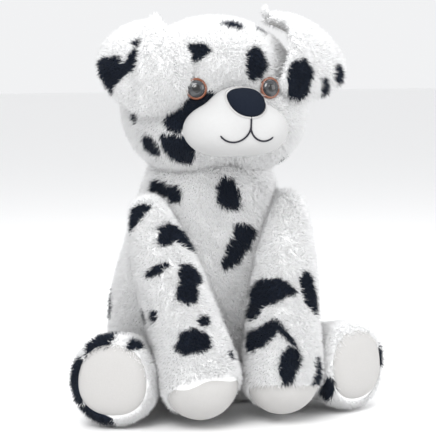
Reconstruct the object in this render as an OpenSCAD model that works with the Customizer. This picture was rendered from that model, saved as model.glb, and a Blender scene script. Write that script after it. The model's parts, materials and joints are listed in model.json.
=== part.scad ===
// Sitting plush puppy: sewn fabric skins over soft fillings, with sewn-on limbs, ears and tail.
// Sizes in millimetres. +Z is up, the face looks along -Y and the seat rests on Z = 0.
// Right and left are the puppy's own: its right side is on -X.

/* [Fabric and gaps] */
// Thickness of a sewn skin, backing and pile together
skin_wall = 3; // [2:0.25:5]
// Thickness of the short-pile pads and panels
pad_wall = 2.4; // [1.5:0.1:4]
// Gap between two layers that are sewn or stuffed together
layer_gap = 0.3; // [0.2:0.05:0.6]
// Gap round each root that turns in its socket
joint_gap = 1.5; // [0.8:0.1:3]
// Extra gap round the ball of a limb's root
ball_spare = 3; // [2:0.5:5]
// Extra gap along the sides of a limb
side_spare = 1; // [0.5:0.25:2]

/* [Torso] */
// Radius of the belly
belly_r = 92; // [75:1:110]
// Height of the belly's centre along the back
belly_up = 92; // [80:1:110]
// Radius of the flat part of the seat
seat_flat_r = 50; // [35:1:65]
// Rounding between the seat and the sides
seat_round_r = 38; // [25:1:50]
// Lean of the back towards the front, in degrees
lean = 7; // [0:0.5:12]
// How far the seat is set behind the neck's plumb line
seat_back = 22; // [10:1:35]
// How far the seat is pressed flat
seat_press = 5; // [2:0.5:8]
// Distance of the chest from the neck's plumb line
chest_front = 54; // [45:1:70]
// Radius of the broad curve of the chest, seen from above
chest_r = 170; // [120:5:260]

/* [Neck] */
// Radius of the round neck the head turns on
neck_r = 62; // [50:1:70]
// Distance of the neck's centre from the seat, along the back
neck_up = 186; // [165:1:210]
// Radius of the stuffed ball inside the neck
neck_ball_r = 38; // [25:1:45]

/* [Head] */
// Half the width of the head
head_rx = 86; // [70:1:100]
// Half the height and half the depth of the head
head_r = 75; // [60:1:90]
// Height of the head's centre over the neck's centre
head_up = 102.5; // [90:0.5:120]
// How far the head sits in front of the neck's centre
head_forward = 7.5; // [0:0.5:20]

/* [Muzzle] */
// Half the width of the muzzle's cheeks
muzzle_rx = 46; // [36:1:54]
// Half the depth of the cheeks
muzzle_ry = 38; // [30:1:46]
// Half the height of the cheeks
muzzle_rz = 27; // [20:1:32]
// Half the width of the bridge under the nose
bridge_rx = 26; // [18:1:32]
// Half the depth of the bridge
bridge_ry = 34; // [26:1:40]
// Half the height of the bridge
bridge_rz = 26; // [20:1:30]
// Half the width of the nose
nose_rx = 16; // [10:0.5:20]
// Half the height of the nose
nose_rz = 12; // [8:0.5:16]
// Thickness of the nose patch
nose_thick = 2.4; // [1:0.2:4]
// Radius of each curve of the smile
smile_r = 12.4; // [9:0.2:16]
// Width of the mouth stitching
thread_width = 1.6; // [1:0.1:2.5]
// Height of the mouth stitching over the muzzle
thread_height = 0.8; // [0.5:0.1:1.5]

/* [Eyes] */
// Radius of the domed eye
eye_r = 9; // [6:0.5:12]
// Height of the dome
eye_dome = 4.5; // [3:0.25:7]
// Half the distance between the eyes
eye_half = 33; // [26:0.5:40]
// Height of the eyes over the head's centre
eye_lift = 10; // [0:0.5:20]
// Radius of the post behind the eye
post_r = 2.4; // [1.5:0.1:4]
// Length of the post
post_length = 14; // [10:0.5:20]
// Radial gap between the post and its locking washer
post_gap = 0.05; // [0.02:0.01:0.1]
// Radius of the locking washer
washer_r = 8; // [6:0.5:11]
// Thickness of the locking washer
washer_thick = 1.6; // [1:0.1:2.5]

/* [Ears] */
// Radius of the round form the ear is curved over
ear_form_r = 68; // [60:1:76]
// Half the distance between the centres of those forms
ear_half = 52; // [46:1:58]
// Height of those centres over the head's centre
ear_lift = 6; // [0:0.5:14]
// How far those centres sit in front of the head's centre
ear_forward = 4; // [0:0.5:10]
// Half the distance between the two ear roots
ear_root_half = 48; // [42:0.5:54]
// Thickness of the furry side of the ear
ear_fur = 5; // [3:0.5:7]
// How far the ear reaches behind its form's centre
ear_back = 26; // [15:1:35]

/* [Front legs] */
// Half the distance between the shoulders
shoulder_half = 64; // [58:0.5:70]
// Distance of the shoulders in front of the neck's plumb line
shoulder_forward = 31; // [25:0.5:38]
// Height of the shoulders
shoulder_z = 178; // [165:1:190]
// Radius of the shoulder
shoulder_r = 24; // [18:0.5:30]
// Radius halfway down the front leg
foreleg_r = 31; // [24:0.5:33]
// Radius of the front paw
paw_r = 32.5; // [26:0.5:33]
// Half the distance between the front paws
paw_half = 37; // [36:0.5:44]
// Distance of the front paws in front of the neck's plumb line
paw_forward = 100; // [85:1:115]
// Height of the front paws' centres
paw_z = 42; // [38:1:55]
// Largest forward swing of a front leg, in degrees
arm_swing = 45; // [20:1:50]

/* [Hind legs] */
// Half the distance between the hind soles
sole_half = 111; // [110:0.5:118]
// Distance of the hind soles in front of the neck's plumb line
sole_forward = 88; // [80:1:96]
// Height of the hind soles' centres
sole_z = 42; // [38:0.5:48]
// How far each hind leg is turned outwards, in degrees
hind_turn = 25; // [15:1:35]
// Length from the hip to the sole
hind_length = 80; // [70:1:90]
// Radius of the hip
hip_r = 27; // [22:0.5:30]
// Radius of the hind foot
foot_r = 37; // [32:0.5:37]
// Rounding of the foot's rim
foot_round_r = 7; // [4:0.5:12]
// Gap between the sole pad's edge and the rim's rounding
sole_margin = 0.5; // [0.2:0.1:3]
// Largest outward swing of a hind leg, in degrees
hind_swing = 25; // [10:1:35]

/* [Tail] */
// Radius of the tail's root
tail_root_r = 9; // [6:0.5:12]
// Radius of the tail's tip
tail_tip_r = 8; // [5:0.5:12]
// Length of the tail
tail_length = 50; // [30:1:80]
// Height of the tail's root
tail_z = 36; // [28:1:60]
// Upward slope of the tail, in degrees
tail_slope = 30; // [10:1:60]

/* [Seat pouch] */
// Radius of the bean pouch inside the seat
pouch_r = 44; // [30:1:55]
// Thickness of the pouch's cloth
pouch_cloth = 0.8; // [0.5:0.1:1.5]

/* [Hidden] */
big = 600;
fine = 72;
plain = 40;
SIDES = [-1, 1];
neck_c = [0, seat_back - neck_up * sin(lean), neck_up * cos(lean) - seat_press];
head_c = neck_c + [0, -head_forward, head_up];
cheek_c = head_c + [0, -72, -24];
bridge_c = head_c + [0, -76, -14];
nose_at = [0, bridge_c[2] + 16];
smile_z = nose_at[1] - 24;
eye_y = head_r * sqrt(1 - pow(eye_half / head_rx, 2) - pow(eye_lift / head_r, 2));
eye_out = [eye_half / pow(head_rx, 2), -eye_y / pow(head_r, 2), eye_lift / pow(head_r, 2)];
ear_c = head_c + [ear_half, -ear_forward, ear_lift];
shoulder = [shoulder_half, -shoulder_forward, shoulder_z];
paw = [paw_half, -paw_forward, paw_z];
foreleg = norm(paw - shoulder);
foreleg_fall = norm([paw[1] - shoulder[1], paw[2] - shoulder[2]]);
foreleg_rest = atan2(shoulder[1] - paw[1], shoulder[2] - paw[2]);
foreleg_in = (shoulder[0] - paw[0]) / foreleg_fall;
hind_dir = [sin(hind_turn), -cos(hind_turn), 0];
sole = [sole_half, -sole_forward, sole_z];
hip = sole - hind_length * hind_dir;
belly_back = seat_back - belly_up * sin(lean) + belly_r;
tail_root = [0, belly_back + 0.4, tail_z];
tail_dir = [0, cos(tail_slope), sin(tail_slope)];
pouch_c = [0, seat_back, pouch_r * 0.5 + 10];

// Turns +Z to point along a direction.
module aim(dir) {
  rotate([0, acos(dir[2] / norm(dir)), atan2(dir[1], dir[0])]) children();
}

// A body of revolution round +Z, drawn over circles given as [height, radius, distance out].
module spindle(rings, inset = 0) {
  rotate_extrude($fn = plain)
    intersection() {
      hull()
        for (ring = rings)
          translate([ring[2], ring[0]]) circle(ring[1] - inset, $fn = plain);
      translate([0, -big / 2]) square([big / 2, big]);
    }
}

// An ellipsoid given by its centre and half sizes.
module egg(centre, half, inset = 0) {
  translate(centre)
    scale([half[0] - inset, half[1] - inset, half[2] - inset] / 50)
      sphere(50, $fn = fine);
}

// The head's round form, wider than it is high.
module head_egg(inset = 0) {
  translate(head_c) rotate([0, 90, 0]) rotate_extrude($fn = fine)
    intersection() {
      scale([head_r - inset, head_rx - inset] / 50) circle(50, $fn = plain);
      translate([0, -big / 2]) square([big / 2, big]);
    }
}

// Puts a left-hand part on the left side, or its mirror image on the right.
module on_side(side) {
  if (side > 0) children();
  else mirror([1, 0, 0]) children();
}

module foreleg_form(inset) {
  translate(shoulder) aim(paw - shoulder)
    spindle([[0, shoulder_r, 0], [foreleg * 0.55, foreleg_r, 0], [foreleg, paw_r, 0]], inset);
}

// The room a front leg needs from rest to its largest swing.
module foreleg_room(extra) {
  half_0 = shoulder_r + ball_spare + extra;
  half_1 = foreleg_r + 1.7 + extra;
  widening = (foreleg_r - shoulder_r) / (foreleg * 0.55);
  start = shoulder_r / 2;
  length = foreleg * 0.32;
  reach = foreleg_fall * 0.85;
  first = -(foreleg_rest + arm_swing + 45);
  last = -foreleg_rest + 27 + extra;
  translate(shoulder) sphere(half_0, $fn = plain);
  for (swing = [0, arm_swing])
    translate(shoulder) rotate([-swing, 0, 0]) aim(paw - shoulder) translate([0, 0, start])
      cylinder(
        h = length, $fn = plain,
        r1 = shoulder_r + widening * start + side_spare + extra,
        r2 = shoulder_r + widening * (start + length) + side_spare + extra
      );
  translate(shoulder) rotate([0, 90, 0]) rotate([0, 0, first])
    rotate_extrude(angle = last - first, $fn = plain)
      polygon([
        [0, 1 - half_0], [shoulder_r, -half_0 - 2 - shoulder_r * foreleg_in],
        [foreleg_fall * 0.55, -half_1 - foreleg_fall * 0.55 * foreleg_in],
        [reach + extra, -half_1 - reach * foreleg_in],
        [reach + extra, half_1 - reach * foreleg_in],
        [foreleg_fall * 0.55, half_1 - foreleg_fall * 0.55 * foreleg_in],
        [shoulder_r, half_0 + 1], [0, half_0 - 1]
      ]);
}

module hind_form(inset) {
  translate(hip) aim(hind_dir)
    spindle([
      [0, hip_r, 0],
      [hind_length - foot_round_r, foot_round_r, foot_r - foot_round_r]
    ], inset);
}

// The room a hind leg needs from rest to its largest outward swing.
module hind_room(extra) {
  half_0 = hip_r + ball_spare + extra;
  half_1 = half_0 + (foot_r - hip_r) * 0.45;
  widening = (foot_r - hip_r) / (hind_length - foot_round_r);
  start = hip_r * 0.38;
  length = hind_length * 0.5;
  translate(hip) sphere(half_0, $fn = plain);
  for (swing = [0, hind_swing])
    translate(hip) rotate([0, 0, swing]) aim(hind_dir) translate([0, 0, start])
      cylinder(
        h = length, $fn = plain,
        r1 = hip_r + widening * start + side_spare + extra,
        r2 = hip_r + widening * (start + length) + side_spare + extra
      );
  translate(hip) rotate([0, 0, hind_turn - 90 - 45 - extra])
    rotate_extrude(angle = hind_swing + 90 + 2 * extra, $fn = plain)
      polygon([
        [0, 1 - half_0], [45, -half_1], [90, -half_1 - 6],
        [90, half_1 + 6], [45, half_1], [0, half_0 - 1]
      ]);
}

module torso_outline(inset) {
  intersection() {
    translate([0, seat_back, -seat_press]) rotate([lean, 0, 0])
      spindle([
        [belly_up, belly_r, 0],
        [seat_round_r, seat_round_r, seat_flat_r],
        [neck_up, neck_r, 0]
      ], inset);
    translate([0, chest_r - chest_front, -big / 4]) cylinder(h = big, r = chest_r - inset, $fn = 160);
    translate([-big / 2, -big / 2, inset]) cube(big);
  }
}

// The torso with its sockets for the limbs and tail.
module torso_form(inset) {
  difference() {
    torso_outline(inset);
    for (side = SIDES) on_side(side) {
      foreleg_room(joint_gap + inset);
      hind_room(joint_gap + inset);
    }
    translate(tail_root) sphere(tail_root_r + 3 * joint_gap + inset, $fn = plain);
  }
}

module torso_skin() {
  color([0.93, 0.93, 0.94]) difference() {
    torso_form(0);
    torso_form(skin_wall);
  }
}

module torso_filling() {
  color([0.97, 0.97, 0.95]) difference() {
    torso_form(skin_wall + layer_gap);
    translate(neck_c) sphere(neck_ball_r + joint_gap, $fn = plain);
    translate(pouch_c) scale([1, 1, 0.5]) sphere(pouch_r + layer_gap, $fn = plain);
  }
}

module seat_pouch() {
  color([0.85, 0.84, 0.8]) translate(pouch_c) difference() {
    scale([1, 1, 0.5]) sphere(pouch_r, $fn = plain);
    scale([1, 1, 0.5]) sphere(pouch_r - 2 * pouch_cloth, $fn = plain);
  }
}

module seat_pellets() {
  color([0.8, 0.82, 0.84]) translate(pouch_c)
    scale([1, 1, 0.5]) sphere(pouch_r - 2 * pouch_cloth - 2 * layer_gap, $fn = plain);
}

module neck_filling() {
  color([0.96, 0.96, 0.94]) translate(neck_c) sphere(neck_ball_r, $fn = plain);
}

module head_form(inset) {
  difference() {
    head_egg(inset);
    translate(neck_c) sphere(neck_r + joint_gap + inset, $fn = plain);
  }
}

// Puts its child at the left eye: +Z out of the head, Z = 0 on the skin.
module at_eye() {
  translate(head_c + [eye_half, -eye_y, eye_lift]) aim(eye_out) children();
}

// The head's skin is open at the neck, where the head is stuffed and sewn on.
module head_skin() {
  color([0.93, 0.93, 0.94]) difference() {
    head_egg();
    head_egg(skin_wall);
    translate(neck_c) sphere(neck_r + joint_gap, $fn = plain);
    for (side = SIDES) on_side(side) at_eye()
      translate([0, 0, -skin_wall * 2]) cylinder(h = skin_wall * 4, r = post_r + 2 * layer_gap, $fn = plain);
  }
}

module head_filling() {
  color([0.97, 0.97, 0.95]) difference() {
    head_form(skin_wall + layer_gap);
    for (side = SIDES) on_side(side) at_eye() {
      translate([0, 0, -skin_wall - washer_thick - 2])
        cylinder(h = washer_thick + 10, r = washer_r + 2 * layer_gap, $fn = plain);
      translate([0, 0, -post_length - 1])
        cylinder(h = post_length, r = post_r + 2 * layer_gap, $fn = plain);
    }
  }
}

module muzzle_outline(inset) {
  egg(cheek_c, [muzzle_rx, muzzle_ry, muzzle_rz], inset);
  egg(bridge_c, [bridge_rx, bridge_ry, bridge_rz], inset);
}

module muzzle_panel() {
  color([0.9, 0.9, 0.9]) difference() {
    muzzle_outline(0);
    muzzle_outline(pad_wall);
    head_egg(-layer_gap);
  }
}

module muzzle_filling() {
  color([0.97, 0.97, 0.95]) difference() {
    muzzle_outline(pad_wall + layer_gap);
    head_egg(-2 * layer_gap);
  }
}

// Cuts its 2D child forwards through the front of the muzzle.
module through_muzzle() {
  translate([0, bridge_c[1] - 8, 0]) rotate([90, 0, 0]) linear_extrude(60) children();
}

module nose_patch() {
  color([0.1, 0.12, 0.17]) intersection() {
    difference() {
      egg(bridge_c, [bridge_rx, bridge_ry, bridge_rz], -layer_gap - nose_thick);
      muzzle_outline(-layer_gap);
    }
    through_muzzle() translate(nose_at) scale([nose_rx, nose_rz] / 10) circle(10, $fn = plain);
  }
}

// The mouth seen from the front: a short stem and the two curves of a smile.
module mouth_shape() {
  translate([-thread_width / 2, smile_z]) square([thread_width, 24 - nose_rz - 1]);
  for (side = SIDES)
    translate([side * (smile_r - thread_width / 2), smile_z]) intersection() {
      difference() {
        circle(smile_r, $fn = plain);
        circle(smile_r - thread_width, $fn = plain);
      }
      polygon([
        [0, 0], [-side * 40, 0.6], [-side * 40, -40], [side * 24, -40], [side * 40, -22]
      ]);
    }
}

module mouth_stitching() {
  color([0.12, 0.12, 0.15]) intersection() {
    difference() {
      muzzle_outline(-layer_gap - thread_height);
      muzzle_outline(-layer_gap);
    }
    through_muzzle() mouth_shape();
  }
}

module eye(side) {
  ball = (eye_r * eye_r + eye_dome * eye_dome) / (2 * eye_dome);
  color([0.1, 0.1, 0.12]) on_side(side) at_eye() {
    intersection() {
      translate([0, 0, eye_dome - ball + 2 * layer_gap]) sphere(ball, $fn = fine);
      translate([0, 0, 2 * layer_gap]) cylinder(h = eye_dome * 2, r = eye_r * 2, $fn = plain);
    }
    translate([0, 0, -post_length]) cylinder(h = post_length + 2, r = post_r, $fn = plain);
  }
}

module eye_washer(side) {
  color([0.9, 0.9, 0.88]) on_side(side) at_eye()
    translate([0, 0, -skin_wall - washer_thick - 3 * layer_gap]) difference() {
      cylinder(h = washer_thick, r = washer_r, $fn = plain);
      translate([0, 0, -1]) cylinder(h = washer_thick + 2, r = post_r + post_gap, $fn = plain);
    }
}

// The ear's outline seen from the front.
module ear_shape() {
  low = ear_c[2] - 15;
  hull() {
    translate([ear_root_half + 18, low + 18]) circle(18, $fn = plain);
    translate([ear_c[0] + ear_form_r - 14, ear_c[2] + 24]) circle(14, $fn = plain);
    translate([ear_root_half + 18, ear_c[2] + ear_form_r - 18]) circle(18, $fn = plain);
    translate([ear_root_half + 3, ear_c[2] + ear_form_r - 4]) circle(3, $fn = plain);
  }
}

module ear_layer(side, outer, inner) {
  on_side(side) intersection() {
    translate(ear_c) difference() {
      sphere(outer, $fn = fine);
      sphere(inner, $fn = fine);
    }
    translate([0, ear_c[1] + ear_back, 0]) rotate([90, 0, 0])
      linear_extrude(ear_back + ear_form_r + 10) ear_shape();
  }
}

module ear_outer(side) {
  color([0.93, 0.93, 0.94]) ear_layer(side, ear_form_r, ear_form_r - ear_fur);
}

module ear_lining(side) {
  top = ear_form_r - ear_fur - layer_gap;
  color([0.9, 0.89, 0.87]) ear_layer(side, top, top - pad_wall);
}

module foreleg_skin(side) {
  color([0.93, 0.93, 0.94]) on_side(side) difference() {
    foreleg_form(0);
    foreleg_form(skin_wall);
  }
}

module foreleg_filling(side) {
  color([0.97, 0.97, 0.95]) on_side(side) foreleg_form(skin_wall + layer_gap);
}

module paw_pad(side) {
  thick = pad_wall * 0.5;
  color([0.89, 0.88, 0.86]) on_side(side) translate(paw) difference() {
    sphere(paw_r + layer_gap + thick, $fn = fine);
    sphere(paw_r + layer_gap, $fn = fine);
    aim([0, 0.7, 0.72]) translate([0, 0, -7]) cylinder(h = big / 4, r = paw_r * 2, $fn = plain);
  }
}

module hind_skin(side) {
  color([0.93, 0.93, 0.94]) on_side(side) difference() {
    hind_form(0);
    hind_form(skin_wall);
  }
}

module hind_filling(side) {
  color([0.97, 0.97, 0.95]) on_side(side) hind_form(skin_wall + layer_gap);
}

module sole_pad(side) {
  color([0.89, 0.88, 0.86]) on_side(side) translate(sole) aim(hind_dir)
    translate([0, 0, layer_gap])
      cylinder(h = pad_wall, r = foot_r - foot_round_r - sole_margin, $fn = fine);
}

module tail_form(inset) {
  translate(tail_root) aim(tail_dir)
    spindle([[0, tail_root_r, 0], [tail_length - tail_tip_r, tail_tip_r, 0]], inset);
}

module tail_skin() {
  color([0.93, 0.93, 0.94]) difference() {
    tail_form(0);
    tail_form(skin_wall);
  }
}

module tail_filling() {
  color([0.97, 0.97, 0.95]) tail_form(skin_wall + layer_gap);
}

torso_skin();
torso_filling();
seat_pouch();
seat_pellets();
neck_filling();
head_skin();
head_filling();
muzzle_panel();
muzzle_filling();
nose_patch();
mouth_stitching();
eye(-1);  // eye_right
eye_washer(-1);  // eye_right_washer
eye(1);  // eye_left
eye_washer(1);  // eye_left_washer
ear_outer(-1);  // ear_right_outer
ear_lining(-1);  // ear_right_lining
ear_outer(1);  // ear_left_outer
ear_lining(1);  // ear_left_lining
foreleg_skin(-1);  // front_leg_right_skin
foreleg_filling(-1);  // front_leg_right_filling
paw_pad(-1);  // front_paw_right_pad
foreleg_skin(1);  // front_leg_left_skin
foreleg_filling(1);  // front_leg_left_filling
paw_pad(1);  // front_paw_left_pad
hind_skin(-1);  // hind_leg_right_skin
hind_filling(-1);  // hind_leg_right_filling
sole_pad(-1);  // hind_sole_right_pad
hind_skin(1);  // hind_leg_left_skin
hind_filling(1);  // hind_leg_left_filling
sole_pad(1);  // hind_sole_left_pad
tail_skin();
tail_filling();
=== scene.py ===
"""Sitting plush puppy: the visual model, built in the CAD model's frame.

Lengths in this file are millimetres, turned into Blender's metres when a mesh is made.
+Z is up, the face looks along -Y, and right and left are the puppy's own (its left is +X).
"""
import json
import logging
import math
from collections.abc import Callable
from dataclasses import dataclass, field
from enum import IntEnum

import bpy
import numpy as np
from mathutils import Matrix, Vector


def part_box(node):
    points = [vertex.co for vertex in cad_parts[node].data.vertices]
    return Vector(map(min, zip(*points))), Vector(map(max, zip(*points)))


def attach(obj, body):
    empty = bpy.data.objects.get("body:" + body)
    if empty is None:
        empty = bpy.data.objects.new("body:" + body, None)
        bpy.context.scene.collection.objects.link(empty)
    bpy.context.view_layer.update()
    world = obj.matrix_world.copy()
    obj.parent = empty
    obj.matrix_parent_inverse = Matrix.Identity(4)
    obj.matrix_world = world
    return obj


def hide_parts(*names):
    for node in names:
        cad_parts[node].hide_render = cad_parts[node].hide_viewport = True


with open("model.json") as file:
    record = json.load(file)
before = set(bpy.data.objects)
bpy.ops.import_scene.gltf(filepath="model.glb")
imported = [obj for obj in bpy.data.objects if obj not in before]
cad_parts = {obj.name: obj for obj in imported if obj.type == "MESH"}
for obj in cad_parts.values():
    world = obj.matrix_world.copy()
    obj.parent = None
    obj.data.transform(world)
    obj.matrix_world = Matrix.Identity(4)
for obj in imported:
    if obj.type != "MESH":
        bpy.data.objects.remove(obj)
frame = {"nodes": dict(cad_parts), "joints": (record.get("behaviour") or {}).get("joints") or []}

logging.basicConfig(level=logging.INFO, format="%(name)s: %(message)s")
log = logging.getLogger("puppy")

MM = 0.001
UP = np.array([0.0, 0.0, 1.0])
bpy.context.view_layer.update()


class Side(IntEnum):
    """The puppy's own sides, as the sign of X there."""

    RIGHT = -1
    LEFT = 1


RIGHT, LEFT = Side.RIGHT, Side.LEFT


def vec(*values) -> np.ndarray:
    """Returns the numbers as one float array."""
    return np.array(values, dtype=float)


def unit(v: np.ndarray) -> np.ndarray:
    """Returns v, or each row of v, scaled to length one."""
    v = np.asarray(v, dtype=float)
    return v / np.maximum(np.linalg.norm(v, axis=-1, keepdims=True), 1e-12)


def smooth(x: np.ndarray, low: float, high: float) -> np.ndarray:
    """Returns 0 below low and 1 above high, with an even S-curve between."""
    t = np.clip((np.asarray(x, dtype=float) - low) / (high - low), 0.0, 1.0)
    return t * t * (3.0 - 2.0 * t)


def mirrored(point: tuple, side: Side) -> np.ndarray:
    """Returns a left-hand point as it is, or mirrored to the right-hand side."""
    return np.asarray(point, dtype=float) * vec(side, 1, 1)


def box_of(node: str) -> tuple[np.ndarray, np.ndarray]:
    """Returns the lowest and highest corner of a CAD node, in millimetres."""
    lowest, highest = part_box(node)
    return vec(*lowest) / MM, vec(*highest) / MM


def middle_of(node: str) -> np.ndarray:
    """Returns the middle of a CAD node's box, in millimetres."""
    lowest, highest = box_of(node)
    return (lowest + highest) / 2


def pivot(joint: str) -> np.ndarray:
    """Returns where a CAD joint turns, in millimetres."""
    return next(vec(*j["pos_m"]) / MM for j in frame["joints"] if j["name"] == joint)


# ---------------------------------------------------------------- shader maths


class Socket:
    """An output of a node tree that can be used in sums with numbers and other outputs."""

    def __init__(self, tree: bpy.types.NodeTree, out: bpy.types.NodeSocket | None) -> None:
        """Holds the tree and the wrapped output, None where there is no output yet."""
        self.tree = tree
        self.out = out

    def feed(self, target: bpy.types.NodeSocket) -> None:
        """Links this output to an input socket."""
        self.tree.links.new(self.out, target)

    def node(self, kind: str, inputs: dict, out: int | str = 0, **settings) -> "Socket":
        """Adds any other node.

        Args:
            kind: Blender's name of the node type.
            inputs: input names or numbers, with a value or a Socket for each.
            out: name or number of the output that is returned.
            **settings: the node's own properties.

        Returns:
            The chosen output.
        """
        made = self.tree.nodes.new(kind)
        for name, value in settings.items():
            setattr(made, name, value)
        for name, value in inputs.items():
            put(made.inputs[name], value)
        return Socket(self.tree, made.outputs[out])

    def _maths(self, operation: str, *values) -> "Socket":
        """Adds a Math node that works on this output and the values."""
        return self.node("ShaderNodeMath", dict(enumerate((self, *values))), operation=operation)

    def __add__(self, other: "float | Socket") -> "Socket":
        """Returns the sum."""
        return self._maths("ADD", other)

    def __radd__(self, other: "float | Socket") -> "Socket":
        """Returns the sum, with this output on the right."""
        return self._maths("ADD", other)

    def __sub__(self, other: "float | Socket") -> "Socket":
        """Returns this output less the other."""
        return self._maths("SUBTRACT", other)

    def __rsub__(self, other: "float | Socket") -> "Socket":
        """Returns the other less this output."""
        return self * -1.0 + other

    def __mul__(self, other: "float | Socket") -> "Socket":
        """Returns the product."""
        return self._maths("MULTIPLY", other)

    def __rmul__(self, other: "float | Socket") -> "Socket":
        """Returns the product, with this output on the right."""
        return self._maths("MULTIPLY", other)

    def __truediv__(self, other: "float | Socket") -> "Socket":
        """Returns this output divided by the other."""
        return self._maths("DIVIDE", other)

    def __rtruediv__(self, other: "float | Socket") -> "Socket":
        """Returns the other divided by this output."""
        return self._maths("POWER", -1.0) * other

    def clamped(self) -> "Socket":
        """Returns the value held between 0 and 1."""
        return self.node("ShaderNodeClamp", {0: self})

    def mix(self, first: "tuple | Socket", second: "tuple | Socket") -> "Socket":
        """Returns a colour that runs from first to second as this value runs from 0 to 1."""
        made = self.tree.nodes.new("ShaderNodeMix")
        made.data_type = "RGBA"
        put(made.inputs["Factor"], self)
        put(made.inputs[6], first)
        put(made.inputs[7], second)
        return Socket(self.tree, made.outputs[2])


def put(target: bpy.types.NodeSocket, value: "float | tuple | Socket") -> None:
    """Links a Socket to an input, or sets the input to a number or a colour."""
    if isinstance(value, Socket):
        value.feed(target)
    elif isinstance(value, tuple) and len(value) == 3 and target.type == "RGBA":
        target.default_value = (*value, 1.0)
    else:
        target.default_value = value


@dataclass(frozen=True)
class Finish:
    """One finish of the puppy.

    Attributes:
        name: the material's name.
        colour: linear base colour.
        second: colour of the speckle, or of the dark patches where patched is true.
        roughness: surface roughness.
        sheen: strength of the soft rim light on cloth.
        coat: strength of the clear gloss over plastic.
        shine: strength of the plain reflection.
        grain: how many speckles there are in a metre.
        speckle: strength of the speckle, 0 to 1.
        bump: depth of the surface grain in millimetres.
        patched: True where the point attribute "patch" turns the pile dark.
    """

    name: str
    colour: tuple
    second: tuple
    roughness: float = 0.9
    sheen: float = 0.0
    coat: float = 0.0
    shine: float = 0.5
    grain: float = 300.0
    speckle: float = 0.0
    bump: float = 0.0
    patched: bool = False

    def material(self) -> bpy.types.Material:
        """Returns the Blender material of this finish, made once."""
        if self.name in bpy.data.materials:
            return bpy.data.materials[self.name]
        made = bpy.data.materials.new(self.name)
        made.use_nodes = True
        tree = made.node_tree
        shader = tree.nodes["Principled BSDF"]
        start = Socket(tree, None)
        where = start.node("ShaderNodeTexCoord", {}, out="Object")
        noise = start.node(
            "ShaderNodeTexNoise", {"Vector": where, "Scale": self.grain, "Detail": 2.0}, out=0
        )
        shade = ((noise - 0.5) * 2.2 + 0.5).clamped()
        if self.patched:
            dark = start.node("ShaderNodeAttribute", {}, out="Fac", attribute_name="patch")
            tone = start.node("ShaderNodeAttribute", {}, out="Fac", attribute_name="tone")
            light = tone.mix(self.colour, tuple(c * (1.0 - self.speckle) for c in self.colour))
            deep = tone.mix(tuple(c * 1.7 for c in self.second), self.second)
            colour = dark.mix(light, deep)
        else:
            colour = (shade * self.speckle).mix(self.colour, self.second)
        put(shader.inputs["Base Color"], colour)
        put(shader.inputs["Roughness"], self.roughness)
        put(shader.inputs["Specular IOR Level"], self.shine)
        put(shader.inputs["Sheen Weight"], self.sheen)
        put(shader.inputs["Sheen Roughness"], 0.5)
        put(shader.inputs["Coat Weight"], self.coat)
        put(shader.inputs["Coat Roughness"], 0.05)
        if self.bump:
            bump = start.node(
                "ShaderNodeBump", {"Height": noise, "Strength": 1.0, "Distance": self.bump * MM}
            )
            put(shader.inputs["Normal"], bump)
        return made


SNOW = (0.95, 0.952, 0.955)
INK = (0.0105, 0.0145, 0.024)
PILE = Finish("long_pile", SNOW, INK, 0.95, sheen=0.04, shine=0.12, speckle=0.10, patched=True)
BACKING = Finish("pile_backing", (0.88, 0.88, 0.88), INK, 1.0, shine=0.1, speckle=0.15, patched=True)
VELOUR = Finish("pad_velour", (0.45, 0.443, 0.435), (0.41, 0.403, 0.395), 0.9, sheen=0.1, shine=0.15,
                grain=900.0, speckle=0.5, bump=0.15)
MUZZLE_CLOTH = Finish("muzzle_velour", (0.46, 0.46, 0.46), (0.425, 0.423, 0.42), 0.9, sheen=0.1,
                      shine=0.15, grain=800.0, speckle=0.4, bump=0.12)
NOSE_CLOTH = Finish("nose_velour", (0.0075, 0.010, 0.017), (0.012, 0.016, 0.025), 0.9, shine=0.04,
                    grain=1500.0, speckle=0.8, bump=0.08)
SEAM = Finish("seam_thread", (0.42, 0.415, 0.41), (0.36, 0.355, 0.35), 0.8)
THREAD = Finish("mouth_thread", (0.018, 0.018, 0.025), (0.03, 0.03, 0.04), 0.6, shine=0.2)
EYE_RING = Finish("eye_ring", (0.20, 0.055, 0.018), (0.12, 0.03, 0.01), 0.3, coat=0.3, speckle=0.5)
EYE_DARK = Finish("eye_dark", (0.03, 0.032, 0.036), (0.018, 0.018, 0.02), 0.2, coat=0.6)
EYE_PUPIL = Finish("eye_pupil", (0.003, 0.003, 0.004), (0.002, 0.002, 0.002), 0.15, coat=0.5)


# ---------------------------------------------------------------- meshes


def mesh_piece(name: str, points: np.ndarray, corners: np.ndarray, per_face: int, finish: Finish,
               body: str, replaces: list | tuple = ()) -> bpy.types.Object:
    """Makes one piece of the puppy.

    Args:
        name: the piece's name.
        points: N x 3 points in millimetres.
        corners: point numbers, per_face of them for each face.
        per_face: 3 or 4.
        finish: what it is made of.
        body: the CAD body it rides on.
        replaces: the CAD nodes it stands for.

    Returns:
        The new object.
    """
    mesh = bpy.data.meshes.new(name)
    count = len(corners) // per_face
    mesh.vertices.add(len(points))
    mesh.vertices.foreach_set("co", (points * MM).astype(np.float32).ravel())
    mesh.loops.add(len(corners))
    mesh.loops.foreach_set("vertex_index", corners.astype(np.int32))
    mesh.polygons.add(count)
    mesh.polygons.foreach_set("loop_start", np.arange(count, dtype=np.int32) * per_face)
    mesh.update(calc_edges=True)
    mesh.materials.append(finish.material())
    made = bpy.data.objects.new(name, mesh)
    bpy.context.scene.collection.objects.link(made)
    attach(made, body)
    if replaces:
        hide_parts(*replaces)
    return made


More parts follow.
